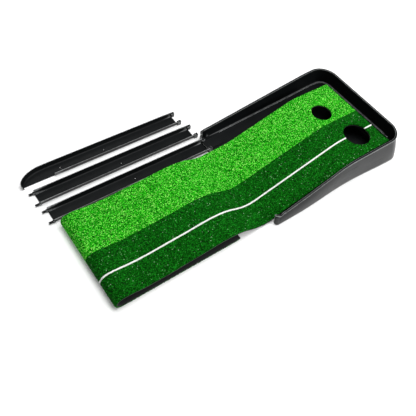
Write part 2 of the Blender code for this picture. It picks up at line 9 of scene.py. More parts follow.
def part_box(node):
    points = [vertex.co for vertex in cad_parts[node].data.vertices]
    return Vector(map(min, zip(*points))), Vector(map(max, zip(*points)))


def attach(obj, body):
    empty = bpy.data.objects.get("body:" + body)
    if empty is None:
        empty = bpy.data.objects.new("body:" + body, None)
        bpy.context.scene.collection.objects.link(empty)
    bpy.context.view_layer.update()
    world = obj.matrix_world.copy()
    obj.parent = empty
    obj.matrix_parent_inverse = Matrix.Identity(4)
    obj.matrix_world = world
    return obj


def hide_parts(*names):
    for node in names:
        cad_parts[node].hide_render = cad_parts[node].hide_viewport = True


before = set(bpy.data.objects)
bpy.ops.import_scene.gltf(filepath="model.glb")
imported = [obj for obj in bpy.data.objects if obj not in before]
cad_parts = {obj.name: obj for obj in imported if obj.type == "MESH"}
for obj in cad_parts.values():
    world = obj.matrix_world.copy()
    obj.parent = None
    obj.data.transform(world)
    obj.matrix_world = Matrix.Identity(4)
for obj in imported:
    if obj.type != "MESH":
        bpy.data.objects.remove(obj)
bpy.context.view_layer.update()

# Practice putting mat: moulded frame with cups, two-tone turf folded under at the player's
# end, and three lengths of return rail. Shapes are made about the turf's centre line, with
# x from the player to the cups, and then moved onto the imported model.

mat = {
    "width": 0.300,
    "deckFar": 1.003,
    "deckHeight": 0.102,
    "plateau": 0.09,  # all that is higher lies on the level part of the deck
    "turfFar": 1.008,
}
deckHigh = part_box("deck")[1]
onFrame = Vector((deckHigh.x - mat["deckFar"], deckHigh.y - mat["width"] / 2, 0))
matLeft, matRight = mat["width"] / 2, -mat["width"] / 2

largeCup = {"x": 0.931, "y": matRight + 0.073, "radius": 0.045}
smallCup = {"x": 0.895, "y": matLeft - 0.095, "radius": 0.035}


# node helpers

def newMaterial(name):
    made = bpy.data.materials.new(name)
    made.use_nodes = True
    nodes = made.node_tree.nodes
    return made, nodes, made.node_tree.links, nodes["Principled BSDF"]


def newGroup(name, inputs, outputs):
    group = bpy.data.node_groups.new(name, "ShaderNodeTree")
    for socketName, kind, default in inputs:
        socket = group.interface.new_socket(name=socketName, in_out="INPUT", socket_type=kind)
        if default is not None:
            socket.default_value = default
    for socketName, kind in outputs:
        group.interface.new_socket(name=socketName, in_out="OUTPUT", socket_type=kind)
    entry, leave = group.nodes.new("NodeGroupInput"), group.nodes.new("NodeGroupOutput")
    return group, group.nodes, group.links, entry, leave


def placeGroup(nodes, group, **values):
    node = nodes.new("ShaderNodeGroup")
    node.node_tree = group
    for key, value in values.items():
        node.inputs[key].default_value = value
    return node


def addNode(nodes, kind, **settings):
    node = nodes.new(kind)
    for key, value in settings.items():
        setattr(node, key, value)
    return node


def addMath(nodes, links, operation, first, second=None, clamp=False):
    node = nodes.new("ShaderNodeMath")
    node.operation = operation
    node.use_clamp = clamp
    for socket, value in zip(node.inputs, (first, second)):
        if value is None:
            continue
        if isinstance(value, (int, float)):
            socket.default_value = value
        else:
            links.new(value, socket)
    return node.outputs[0]


def addMix(nodes, links, amount, first, second, blend="MIX"):
    node = nodes.new("ShaderNodeMix")
    node.data_type = "RGBA"
    node.blend_type = blend
    for index, value in ((0, amount), (6, first), (7, second)):
        socket = node.inputs[index]
        if isinstance(value, (int, float)):
            socket.default_value = value
        elif isinstance(value, tuple):
            socket.default_value = (*value, 1)
        else:
            links.new(value, socket)
    return node.outputs[2]


def addRamp(nodes, links, source, stops):
    node = nodes.new("ShaderNodeValToRGB")
    ramp = node.color_ramp
    while len(ramp.elements) < len(stops):
        ramp.elements.new(0.5)
    for element, (place, colour) in zip(ramp.elements, stops):
        element.position = place
        element.color = (*colour, 1)
    links.new(source, node.inputs[0])
    return node.outputs[0]


def addNoise(nodes, links, vector, scale, detail=2):
    node = nodes.new("ShaderNodeTexNoise")
    links.new(vector, node.inputs["Vector"])
    node.inputs["Detail"].default_value = detail
    if isinstance(scale, (int, float)):
        node.inputs["Scale"].default_value = scale
    else:
        links.new(scale, node.inputs["Scale"])
    return node.outputs


def addBump(nodes, links, shader, height, strength, distance, invert=False):
    bump = addNode(nodes, "ShaderNodeBump", invert=invert)
    bump.inputs["Strength"].default_value = strength
    bump.inputs["Distance"].default_value = distance
    links.new(height, bump.inputs["Height"])
    links.new(bump.outputs[0], shader.inputs["Normal"])


def varied(nodes, links, source, amount, base):
    scaled = addMath(nodes, links, "MULTIPLY", source, amount)
    return addMath(nodes, links, "ADD", scaled, base)


# shared effects

def grainGroup():
    # Fine moulded grain as a height, with a slow waviness in it.
    group, nodes, links, entry, leave = newGroup(
        "Moulded grain",
        [("Scale", "NodeSocketFloat", 900.0), ("Waviness", "NodeSocketFloat", 0.3)],
        [("Height", "NodeSocketFloat"), ("Cloud", "NodeSocketFloat")],
    )
    place = addNode(nodes, "ShaderNodeTexCoord")
    fine = addNoise(nodes, links, place.outputs["Object"], entry.outputs["Scale"], 3)
    slow = addNoise(nodes, links, place.outputs["Object"], 14)
    wave = addMath(nodes, links, "MULTIPLY", slow["Fac"], entry.outputs["Waviness"])
    height = addMath(nodes, links, "ADD", fine["Fac"], wave)
    links.new(height, leave.inputs["Height"])
    links.new(slow["Fac"], leave.inputs["Cloud"])
    return group


def edgeHighlightAndScuffGroup():
    # Painted highlights that make edges and fillets paler, and faint rougher scuffs that run the length
    # of the piece.
    group, nodes, links, entry, leave = newGroup(
        "Painted edge highlight and scuffs",
        [
            ("Edge", "NodeSocketFloat", 0.5),
            ("Scuffs", "NodeSocketFloat", 0.4),
            ("Sharpness", "NodeSocketFloat", 0.035),
            ("Level", "NodeSocketFloat", 0.0),
        ],
        [("Edge highlight mask", "NodeSocketFloat"), ("Scuff mask", "NodeSocketFloat")],
    )
    geometry = addNode(nodes, "ShaderNodeNewGeometry")
    place = addNode(nodes, "ShaderNodeTexCoord")
    # Both proud edges and the fillets in corners catch the light.
    edge = addMath(nodes, links, "SUBTRACT", geometry.outputs["Pointiness"], 0.5)
    edge = addMath(nodes, links, "ABSOLUTE", edge)
    edge = addMath(nodes, links, "SUBTRACT", edge, entry.outputs["Sharpness"], clamp=True)
    edge = addMath(nodes, links, "MULTIPLY", edge, 22.0, clamp=True)
    # Level faces are left out, or let in by the share in Level.
    split = addNode(nodes, "ShaderNodeSeparateXYZ")
    links.new(geometry.outputs["Normal"], split.inputs[0])
    level = addMath(nodes, links, "ABSOLUTE", split.outputs["Z"])
    tilted = addMath(nodes, links, "SUBTRACT", 0.985, level)
    tilted = addMath(nodes, links, "MULTIPLY", tilted, 40.0, clamp=True)
    tilted = addMath(nodes, links, "MAXIMUM", tilted, entry.outputs["Level"])
    edge = addMath(nodes, links, "MULTIPLY", edge, tilted)
    patch = addNoise(nodes, links, place.outputs["Object"], 120, 4)
    edge = addMath(nodes, links, "MULTIPLY", edge, patch["Fac"])
    edge = addMath(nodes, links, "MULTIPLY", edge, entry.outputs["Edge"], clamp=True)
    links.new(edge, leave.inputs["Edge highlight mask"])

    stretch = addNode(nodes, "ShaderNodeMapping")
    stretch.inputs["Scale"].default_value = (9, 420, 260)
    links.new(place.outputs["Object"], stretch.inputs["Vector"])
    lines = addNoise(nodes, links, stretch.outputs[0], 1)
    thin = addMath(nodes, links, "GREATER_THAN", lines["Fac"], 0.66)
    scuff = addMath(nodes, links, "MULTIPLY", thin, entry.outputs["Scuffs"])
    links.new(scuff, leave.inputs["Scuff mask"])
    return group


def dustGroup():
    # Fine dust that settles on faces that look up.
    group, nodes, links, entry, leave = newGroup(
        "Settled dust",
        [("Amount", "NodeSocketFloat", 0.3), ("Speck scale", "NodeSocketFloat", 900.0)],
        [("Dust mask", "NodeSocketFloat")],
    )
    geometry = addNode(nodes, "ShaderNodeNewGeometry")
    place = addNode(nodes, "ShaderNodeTexCoord")
    split = addNode(nodes, "ShaderNodeSeparateXYZ")
    links.new(geometry.outputs["Normal"], split.inputs[0])
    upward = addMath(nodes, links, "SUBTRACT", split.outputs["Z"], 0.5, clamp=True)
    upward = addMath(nodes, links, "MULTIPLY", upward, 2.0, clamp=True)
    specks = addNoise(nodes, links, place.outputs["Object"], entry.outputs["Speck scale"])
    sparse = addMath(nodes, links, "SUBTRACT", specks["Fac"], 0.56, clamp=True)
    sparse = addMath(nodes, links, "MULTIPLY", sparse, 6.0, clamp=True)
    settled = addMath(nodes, links, "MULTIPLY", upward, sparse)
    settled = addMath(nodes, links, "MULTIPLY", settled, entry.outputs["Amount"])
    links.new(settled, leave.inputs["Dust mask"])
    return group


def tuftGroup():
    # One random value for each tuft, a finer one for the yarn in it, and a slow drift.
    group, nodes, links, entry, leave = newGroup(
        "Curled tufts",
        [("Tuft scale", "NodeSocketFloat", 560.0), ("Yarn scale", "NodeSocketFloat", 1500.0)],
        [
            ("Tuft", "NodeSocketFloat"),
            ("Hollow", "NodeSocketFloat"),
            ("Yarn", "NodeSocketFloat"),
            ("Drift", "NodeSocketFloat"),
        ],
    )
    place = addNode(nodes, "ShaderNodeTexCoord")
    wobble = addNoise(nodes, links, place.outputs["Object"], 420)
    shift = addNode(nodes, "ShaderNodeVectorMath", operation="SCALE")
    links.new(wobble["Color"], shift.inputs[0])
    shift.inputs["Scale"].default_value = 0.0016
    moved = addNode(nodes, "ShaderNodeVectorMath", operation="ADD")
    links.new(place.outputs["Object"], moved.inputs[0])
    links.new(shift.outputs[0], moved.inputs[1])
    cells = addNode(nodes, "ShaderNodeTexVoronoi")
    cells.inputs["Randomness"].default_value = 0.8
    links.new(moved.outputs[0], cells.inputs["Vector"])
    links.new(entry.outputs["Tuft scale"], cells.inputs["Scale"])
    split = addNode(nodes, "ShaderNodeSeparateColor")
    links.new(cells.outputs["Color"], split.inputs[0])
    links.new(split.outputs[0], leave.inputs["Tuft"])
    links.new(cells.outputs["Distance"], leave.inputs["Hollow"])
    yarn = addNoise(nodes, links, place.outputs["Object"], entry.outputs["Yarn scale"], 3)
    links.new(yarn["Fac"], leave.inputs["Yarn"])
    drift = addNoise(nodes, links, place.outputs["Object"], 26, 4)
    links.new(drift["Fac"], leave.inputs["Drift"])
    return group


grain = grainGroup()
edgeHighlightAndScuffs = edgeHighlightAndScuffGroup()
dust = dustGroup()
tufts = tuftGroup()


# materials

blackPlastic = {
    "colour": (0.0030, 0.0036, 0.0039),
    # pale colour of the painted highlight on edges and fillets
    "edgeHighlight": (0.30, 0.31, 0.31),
    "dust": (0.07, 0.07, 0.07),
    "roughness": 0.30,
    "shine": 0.11,
}


def plasticMaterial(name, roughness, grainHeight=0.00006, edge=0.6, dustAmount=0.05,
                    sharpness=0.035, level=0.0):
    made, nodes, links, shader = newMaterial(name)
    texture = placeGroup(nodes, grain, Scale=1400.0, Waviness=0.6)
    edgeHighlight = placeGroup(nodes, edgeHighlightAndScuffs, Edge=edge, Scuffs=0.25, Sharpness=sharpness, Level=level)
    settled = placeGroup(nodes, dust, Amount=dustAmount)
    colour = addMix(nodes, links, texture.outputs["Cloud"], blackPlastic["colour"],
                    tuple(1.8 * c for c in blackPlastic["colour"]))
    # Edges and fillets are painted paler as a highlight.
    colour = addMix(nodes, links, edgeHighlight.outputs["Edge highlight mask"], colour, blackPlastic["edgeHighlight"])
    colour = addMix(nodes, links, settled.outputs["Dust mask"], colour, blackPlastic["dust"])
    links.new(colour, shader.inputs["Base Color"])
    rough = varied(nodes, links, texture.outputs["Cloud"], 0.14, roughness - 0.07)
    scuffed = addMath(nodes, links, "MULTIPLY", edgeHighlight.outputs["Scuff mask"], 0.5)
    rough = addMath(nodes, links, "ADD", rough, scuffed)
    dusty = addMath(nodes, links, "MULTIPLY", settled.outputs["Dust mask"], 0.4)
    rough = addMath(nodes, links, "ADD", rough, dusty, clamp=True)
    links.new(rough, shader.inputs["Roughness"])
    addBump(nodes, links, shader, texture.outputs["Height"], 0.35, grainHeight)
    shader.inputs["Specular IOR Level"].default_value = blackPlastic["shine"]
    return made


def pileMaterial(name, look):
    made, nodes, links, shader = newMaterial(name)
    scales = {"Tuft scale": look["tuftScale"], "Yarn scale": look["yarnScale"]}
    tuft = placeGroup(nodes, tufts, **scales)
    colour = addRamp(nodes, links, tuft.outputs["Tuft"], look["tufts"])
    yarn = addRamp(nodes, links, tuft.outputs["Yarn"], look["yarns"])
    colour = addMix(nodes, links, look["yarnShare"], colour, yarn, "MULTIPLY")
    slow = addRamp(nodes, links, tuft.outputs["Drift"], look["drift"])
    colour = addMix(nodes, links, 1.0, colour, slow, "MULTIPLY")
    # Painted shade darkens the gaps between tufts, and a painted highlight brightens their middles.
    tuftShade = addRamp(nodes, links, tuft.outputs["Hollow"], look["tuftShading"])
    colour = addMix(nodes, links, 1.0, colour, tuftShade, "MULTIPLY")
    links.new(colour, shader.inputs["Base Color"])
    shader.inputs["Roughness"].default_value = 0.85
    shader.inputs["Specular IOR Level"].default_value = 0.04
    height = addMath(nodes, links, "MULTIPLY", tuft.outputs["Hollow"], -1.0)
    fine = addMath(nodes, links, "MULTIPLY", tuft.outputs["Yarn"], 0.6)
    height = addMath(nodes, links, "ADD", height, fine)
    addBump(nodes, links, shader, height, 0.9, 0.0016)
    return made


lightPileLook = {
    "tuftScale": 440.0,
    "yarnScale": 800.0,
    "yarnShare": 0.45,
    "tufts": [
        (0.00, (0.001, 0.060, 0.001)),
        (0.25, (0.005, 0.270, 0.003)),
        (0.50, (0.018, 0.520, 0.008)),
        (0.75, (0.085, 0.820, 0.032)),
        (1.00, (0.380, 1.000, 0.180)),
    ],
    "yarns": [(0.30, (0.35, 0.50, 0.30)), (0.55, (1.0, 1.0, 1.0)), (0.75, (1.6, 1.2, 1.5))],
    "drift": [(0.3, (0.80, 0.92, 0.85)), (0.7, (1.12, 1.05, 1.05))],
    "tuftShading": [(0.0, (1.9, 1.30, 2.0)), (0.35, (1.0, 1.0, 1.0)), (0.62, (0.18, 0.34, 0.15))],
}
darkPileLook = {
    "tuftScale": 390.0,
    "yarnScale": 800.0,
    "yarnShare": 0.45,
    "tufts": [
        (0.000, (0.0004, 0.022, 0.0006)),
        (0.300, (0.0010, 0.072, 0.0013)),
        (0.700, (0.0028, 0.135, 0.0040)),
        (0.980, (0.0120, 0.250, 0.0150)),
        (0.984, (0.0900, 0.300, 0.0900)),
        (1.000, (0.2200, 0.400, 0.2200)),
    ],
    "yarns": [(0.30, (0.45, 0.60, 0.45)), (0.55, (1.0, 1.0, 1.0)), (0.75, (1.5, 1.2, 1.5))],
    "drift": [(0.3, (0.82, 0.90, 0.85)), (0.7, (1.10, 1.06, 1.05))],
    "tuftShading": [(0.0, (1.8, 1.25, 1.8)), (0.35, (1.0, 1.0, 1.0)), (0.62, (0.25, 0.45, 0.25))],
}
whitePileLook = {
    "tuftScale": 420.0,
    "yarnScale": 1200.0,
    "yarnShare": 0.35,
    "tufts": [(0.0, (0.80, 0.82, 0.78)), (0.4, (0.92, 0.93, 0.91)), (1.0, (0.98, 0.98, 0.97))],
    "yarns": [(0.30, (0.80, 0.84, 0.80)), (0.55, (1.0, 1.0, 1.0)), (0.75, (1.05, 1.05, 1.05))],
    "drift": [(0.3, (0.96, 0.97, 0.96)), (0.7, (1.0, 1.0, 1.0))],
    "tuftShading": [(0.0, (1.0, 1.0, 1.0)), (0.75, (0.88, 0.90, 0.86))],
}


def backingMaterial():
    # Woven primary backing with a dark latex coat.
    made, nodes, links, shader = newMaterial("Turf backing")
    place = addNode(nodes, "ShaderNodeTexCoord")
    waves = []
    for direction in ("X", "Y"):
        wave = addNode(nodes, "ShaderNodeTexWave", bands_direction=direction)
        wave.inputs["Scale"].default_value = 110
        wave.inputs["Distortion"].default_value = 0.4
        links.new(place.outputs["Object"], wave.inputs["Vector"])
        waves.append(wave.outputs["Fac"])
    weave = addMath(nodes, links, "MAXIMUM", *waves)
    texture = placeGroup(nodes, grain, Scale=700.0, Waviness=0.5)
    stops = [(0.2, (0.003, 0.003, 0.004)), (0.9, (0.012, 0.012, 0.013))]
    links.new(addRamp(nodes, links, weave, stops), shader.inputs["Base Color"])
    rough = varied(nodes, links, texture.outputs["Cloud"], 0.2, 0.7)
    links.new(rough, shader.inputs["Roughness"])
    height = addMath(nodes, links, "ADD", weave, texture.outputs["Height"])
    addBump(nodes, links, shader, height, 0.6, 0.0004)
    return made


def rubberMaterial():
    made, nodes, links, shader = newMaterial("Foot rubber")
    texture = placeGroup(nodes, grain, Scale=1100.0, Waviness=0.8)
    settled = placeGroup(nodes, dust, Amount=0.5)
    stops = [(0.3, (0.012, 0.012, 0.012)), (0.7, (0.026, 0.026, 0.025))]
    colour = addRamp(nodes, links, texture.outputs["Cloud"], stops)
    colour = addMix(nodes, links, settled.outputs["Dust mask"], colour, (0.16, 0.16, 0.15))
    links.new(colour, shader.inputs["Base Color"])
    rough = varied(nodes, links, texture.outputs["Cloud"], 0.2, 0.7)
    links.new(rough, shader.inputs["Roughness"])
    addBump(nodes, links, shader, texture.outputs["Height"], 0.5, 0.0002)
    return made


def steelMaterial():
    made, nodes, links, shader = newMaterial("Screw steel")
    texture = placeGroup(nodes, grain, Scale=1800.0, Waviness=1.0)
    edgeHighlight = placeGroup(nodes, edgeHighlightAndScuffs, Edge=0.5, Scuffs=0.6)
    stops = [(0.3, (0.50, 0.52, 0.54)), (0.7, (0.68, 0.69, 0.68))]
    colour = addRamp(nodes, links, texture.outputs["Cloud"], stops)
    # Edges are painted paler with the same painted highlight mask.
    colour = addMix(nodes, links, edgeHighlight.outputs["Edge highlight mask"], colour, (0.80, 0.80, 0.80))
    links.new(colour, shader.inputs["Base Color"])
    shader.inputs["Metallic"].default_value = 1.0
    rough = varied(nodes, links, texture.outputs["Height"], 0.2, 0.22)
    rough = addMath(nodes, links, "ADD", rough, edgeHighlight.outputs["Scuff mask"], clamp=True)
    links.new(rough, shader.inputs["Roughness"])
    return made


def hookMaterial():
    made, nodes, links, shader = newMaterial("Hook tape")
    place = addNode(nodes, "ShaderNodeTexCoord")
    cells = addNode(nodes, "ShaderNodeTexVoronoi")
    cells.inputs["Scale"].default_value = 900
    cells.inputs["Randomness"].default_value = 0.35
    links.new(place.outputs["Object"], cells.inputs["Vector"])
    stops = [(0.1, (0.05, 0.05, 0.05)), (0.6, (0.008, 0.008, 0.008))]
    colour = addRamp(nodes, links, cells.outputs["Distance"], stops)
    links.new(colour, shader.inputs["Base Color"])
    shader.inputs["Roughness"].default_value = 0.8
    addBump(nodes, links, shader, cells.outputs["Distance"], 1.0, 0.0006, invert=True)
    return made


# The frame gets the strongest painted edge highlight, with level rims let in too.
frameFinish = plasticMaterial("Frame plastic", blackPlastic["roughness"], edge=2.6,
                              sharpness=0.012, level=0.7)
railFinish = plasticMaterial("Rail plastic", blackPlastic["roughness"] + 0.03, edge=1.4)
floorFinish = plasticMaterial("Gutter plastic", blackPlastic["roughness"] + 0.05, edge=0.0)
hiddenFinish = plasticMaterial("Inner plastic", 0.5, grainHeight=0.00012, edge=0.3, dustAmount=0.2)
lightPile = pileMaterial("Light green pile", lightPileLook)
darkPile = pileMaterial("Deep green pile", darkPileLook)
whitePile = pileMaterial("White pile", whitePileLook)
backingFinish = backingMaterial()
print("materials made")


# paths that the turf and the deck share

def rounded(corners, radii, steps=24):
    # A polyline whose inner corners are arcs of the given radii.
    points = [Vector(p) for p in corners]
    path = [points[0]]
    for before, corner, after, radius in zip(points, points[1:], points[2:], radii):
        inward, outward = (before - corner).normalized(), (after - corner).normalized()
        half = inward.angle(outward) / 2
        centre = corner + (inward + outward).normalized() * radius / math.sin(half)
        first = corner + inward * radius / math.tan(half) - centre
        sweep = first.angle_signed(corner + outward * radius / math.tan(half) - centre)
        for k in range(steps + 1):
            path.append(centre + Matrix.Rotation(-sweep * k / steps, 2) @ first)
    return path + [points[-1]]


def smoothPath(points, spacing):
    # A curve through the points, with tangents weighted by the distance between them.
    points = [Vector(p) for p in points]
    times = [0.0]
    for a, b in zip(points, points[1:]):
        times.append(times[-1] + math.sqrt((b - a).length))
    last = len(points) - 1
    slopes = []
    for i in range(last + 1):
        low, high = max(i - 1, 0), min(i + 1, last)
        slopes.append((points[high] - points[low]) / (times[high] - times[low]))
    path = []
    for i in range(last):
        span = times[i + 1] - times[i]
        count = max(1, round((points[i + 1] - points[i]).length / spacing))
        for k in range(count):
            t = k / count
            start = (1 + 2 * t) * (1 - t) ** 2 * points[i] + t * (1 - t) ** 2 * span * slopes[i]
            end = t * t * (3 - 2 * t) * points[i + 1] + t * t * (t - 1) * span * slopes[i + 1]
            path.append(start + end)
    return path + [points[-1]]


def evenly(path, spacing):
    # The path cut again into steps of one length.
    lengths = np.concatenate([[0], np.cumsum([(b - a).length for a, b in zip(path, path[1:])])])
    count = round(lengths[-1] / spacing)
    marks = np.linspace(0, lengths[-1], count + 1)
    xs = np.interp(marks, lengths, [p.x for p in path])
    zs = np.interp(marks, lengths, [p.y for p in path])
    return np.stack([xs, zs], 1), lengths[-1]


def sideways(path):
    # Unit vectors to the path's right-hand side, which is up where it runs to the player.
    along = np.gradient(path, axis=0)
    along /= np.linalg.norm(along, axis=1)[:, None]
    return np.stack([along[:, 1], -along[:, 0]], 1)


def curlHeight(x, y):
    across = min(1.0, max(0.0, (y - curl["from"]) / (matLeft - curl["from"])))
    return curl["height"] * math.exp(-((x - curl["x"]) / curl["reach"]) ** 2) * across ** 1.6


turf = {
    "backing": 0.0022,
    "pile": 0.0055,
    "lightShare": 0.483,
    "lineY": matRight + 0.080,
    "lineWidth": 0.0050,
    "foldEnd": 0.413,
    "mesh": 0.0017,  # spacing of the pile's surface
    "backingMesh": 0.004,
    "tuftHeight": 0.0007,
    "drift": 0.0005,
    "driftScale": 330,
    "ragged": 0.0007,
    "cupRagged": (-0.0003, 0.0006),
    "lineRagged": 0.35,  # the white line's edges are neater by this share
    "edgeRounding": 0.0012,
    "spread": (0.00025, 0.0002),
    "clearance": 0.0003,
    "seam": 0.0003,
}
# The free edge stands a little off the floor in the hollow before the ramp.
curl = {"x": 0.512, "reach": 0.050, "height": 0.0145, "from": 0.030}
bandSplit = matLeft - turf["lightShare"] * mat["width"]
lie = turf["backing"] + turf["pile"] + 2 * turf["seam"]

ramp = {"top": 0.84843, "foot": 0.5203, "end": 0.500, "footHeight": 0.0075, "bends": [0.20, 0.12]}
deckLine = rounded([
    (mat["deckFar"], mat["deckHeight"]), (ramp["top"], mat["deckHeight"]),
    (ramp["foot"], ramp["footHeight"]), (ramp["end"], ramp["footHeight"]),
], ramp["bends"])
turfFree = [
    (0.492, 0.0090), (0.472, 0.0140), (0.451, 0.0222), (0.430, 0.0318), (0.408, 0.0392),
    (0.370, 0.0450), (0.320, 0.0440), (0.280, 0.0400), (0.220, 0.0365), (0.155, 0.0322),
    (0.095, 0.0330), (0.060, 0.0380), (0.030, 0.0405), (0.014, 0.0350), (0.008, 0.0233),
    (0.0125, lie + 0.0065), (0.025, lie + 0.001), (0.053, lie), (0.150, lie), (0.280, lie),
    (turf["foldEnd"] - 0.023, lie), (turf["foldEnd"], lie + 0.0022),
]
onDeck = [Vector((mat["turfFar"], mat["deckHeight"] + turf["seam"]))]
onDeck += [Vector((p.x, p.y + 1.3 * turf["seam"])) for p in deckLine[:-1]]
underside = onDeck[:-1] + smoothPath([onDeck[-1]] + turfFree, 0.004)
underPath, turfLength = evenly(underside, turf["mesh"])
upward = sideways(underPath)
print("turf length", round(turfLength, 3))


# mesh helpers

def finishObject(name, bm, finish, body, smooth=True, sharp=None):
    bmesh.ops.recalc_face_normals(bm, faces=bm.faces)
    mesh = bpy.data.meshes.new(name)
    bm.to_mesh(mesh)
    bm.free()
    mesh.transform(Matrix.Translation(onFrame))
    made = bpy.data.objects.new(name, mesh)
    bpy.context.scene.collection.objects.link(made)
    mesh.materials.append(finish)
    if smooth:
        mesh.shade_smooth()
        if sharp:
            mesh.set_sharp_from_angle(angle=math.radians(sharp))
    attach(made, body)
    return made


def loft(bm, rings):
    # Faces between closed rings of vertices, with both ends capped.
    count = len(rings[0])
    for a, b in zip(rings, rings[1:]):
        for k in range(count):
            bm.faces.new((a[k], b[k], b[(k + 1) % count], a[(k + 1) % count]))
    bm.faces.new(rings[0])
    bm.faces.new(rings[-1])


def roundTool(x, y, low, high, radius, segments):
    bm = bmesh.new()
    bmesh.ops.create_cone(bm, cap_ends=True, segments=segments, radius1=radius, radius2=radius,
                          depth=high - low)
    bmesh.ops.translate(bm, vec=(x, y, (low + high) / 2), verts=bm.verts)
    return bm


def inCup(x, y, grow=0.0):
    for cup in (largeCup, smallCup):
        if (x - cup["x"]) ** 2 + (y - cup["y"]) ** 2 < (cup["radius"] + grow) ** 2:
            return cup
    return None


def pileBand(name, right, left, finish, nodes, seed, firstRow=0, lastRow=None, lumps=1.0):
    # A dense skin of lumpy tufts over one band, with ragged edges and cut cups, closed below.
    random = np.random.default_rng(seed)
    rows = range(firstRow, len(underPath) if lastRow is None else lastRow)
    columns = max(4, round((left - right) / turf["mesh"]))
    across = np.linspace(right, left, columns + 1)
    top = turf["backing"] + turf["seam"] + turf["pile"]
    bottom = turf["backing"] + turf["seam"]
    coarse, (spreadAlong, spreadAcross) = turf["driftScale"], turf["spread"]
    bm = bmesh.new()
    grid = []
    lows = []
    for i in rows:
        base, up = underPath[i], upward[i]
        row = []
        for j, y in enumerate(across):
            tuft = random.normal(0, turf["tuftHeight"] * 0.6) * lumps
            spot = Vector((base[0] * coarse, y * coarse, seed + i * 0.02))
            slow = noise.noise(spot) * turf["drift"]
            edge = 0.0
            if j in (0, columns):
                edge = random.uniform(-0.2, 1.0) * turf["ragged"] * (1 if j else -1)
                edge *= turf["lineRagged"] if lumps < 1 else 1.0
            rounding = turf["edgeRounding"] if j in (0, columns) else 0.0
            height = top - turf["tuftHeight"] + tuft + slow - rounding
            spread = random.normal(0, spreadAlong)
            place = base + up * height
            z = max(turf["clearance"], place[1] + curlHeight(base[0], y))
            sideStep = random.normal(0, spreadAcross)
            row.append(bm.verts.new((place[0] + spread, y + edge + sideStep, z)))
        grid.append(row)
        lows.append(base + up * bottom)
    for i in range(len(grid) - 1):
        for j in range(columns):
            corners = (grid[i][j], grid[i + 1][j], grid[i + 1][j + 1], grid[i][j + 1])
            middle = sum((c.co for c in corners), Vector()) / 4
            if middle.z > mat["plateau"] and inCup(middle.x, middle.y):
                continue
            bm.faces.new(corners)
    bmesh.ops.delete(bm, geom=[v for v in bm.verts if not v.link_faces], context="VERTS")
    lowOf = {}
    for i, row in enumerate(grid):
        for j, vert in enumerate(row):
            if vert.is_valid:
                lowOf[vert] = (i, across[j])
    bm.verts.index_update()
    rim = [e for e in bm.edges if e.is_boundary]
    rimVerts = sorted({v for e in rim for v in e.verts}, key=lambda v: -v.index)
    nearCup = 2.2 * turf["mesh"]
    for vert in rimVerts:
        cup = inCup(vert.co.x, vert.co.y, nearCup) if vert.co.z > mat["plateau"] else None
        if cup:
            away = Vector((vert.co.x - cup["x"], vert.co.y - cup["y"]))
            if abs(away.length - cup["radius"]) < nearCup:
                away = away.normalized() * (cup["radius"] + random.uniform(*turf["cupRagged"]))
                vert.co.x, vert.co.y = cup["x"] + away.x, cup["y"] + away.y
    # The edges all go down to the backing.
    below = {}
    for vert in rimVerts:
        i, y = lowOf[vert]
        if vert.co.z > mat["plateau"] and inCup(vert.co.x, vert.co.y, 3 * turf["mesh"]):
            below[vert] = bm.verts.new((vert.co.x, vert.co.y, lows[i][1]))
        else:
            lowY = min(max(vert.co.y, right), left)
            lowZ = lows[i][1] + curlHeight(lows[i][0], lowY)
            below[vert] = bm.verts.new((lows[i][0], lowY, lowZ))
    for edge in rim:
        a, b = edge.verts
        bm.faces.new((a, b, below[b], below[a]))
    closeBelow(bm, grid, below, {below[vert]: lowOf[vert][0] for vert in below})
    made = finishObject(name, bm, finish, "turf")
    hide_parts(*nodes)
    return made


def closeBelow(bm, grid, below, rowOf):
    # Plain strips close the underside, and the rows at the ends and round the cups are filled.
    last = len(grid) - 1
    holed = [i for i, row in enumerate(grid) if not all(vert.is_valid for vert in row)]
    blocks = [[0, 1], [last - 1, last]]
    if holed:
        blocks.insert(1, [max(0, holed[0] - 3), min(last, holed[-1] + 3)])
    merged = [blocks[0]]
    for block in blocks[1:]:
        if block[0] <= merged[-1][1]:
            merged[-1][1] = max(block[1], merged[-1][1])
        else:
            merged.append(block)
    sides = [(below.get(row[0]), below.get(row[-1])) for row in grid]
    for low, high in merged:
        edges = [e for e in bm.edges if e.is_boundary
                 and all(low <= rowOf.get(v, -1) <= high for v in e.verts)]
        for i in (low, high):
            if 0 < i < last:
                edges.append(bm.edges.new(sides[i]))
        bmesh.ops.triangle_fill(bm, use_beauty=True, edges=edges)
    for (_, start), (end, _) in zip(merged, merged[1:]):
        for i in range(start, end):
            bm.faces.new((sides[i][0], sides[i][1], sides[i + 1][1], sides[i + 1][0]))


def turfBacking():
    bm = bmesh.new()
    path, _ = evenly(underside, turf["backingMesh"])
    up = sideways(path)
    rows = []
    across = [matRight] + [curl["from"] + (matLeft - curl["from"]) * k / 8 for k in range(9)]
    for base, side in zip(path, up):
        high = base + side * turf["backing"]
        row = [bm.verts.new((base[0], y, base[1] + curlHeight(base[0], y))) for y in across]
        row += [bm.verts.new((high[0], y, high[1] + curlHeight(base[0], y))) for y in reversed(across)]
        rows.append(row)
    loft(bm, rows)
    backing = finishObject("turfBacking", bm, backingFinish, "turf", sharp=40)
    for cup in (largeCup, smallCup):
        low, high = mat["deckHeight"] - 0.022, mat["deckHeight"] + 0.028
        cutBy(backing, roundTool(cup["x"], cup["y"], low, high, cup["radius"], 72))
    cleanMesh(backing)
    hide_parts("turf_backing")
    return backing


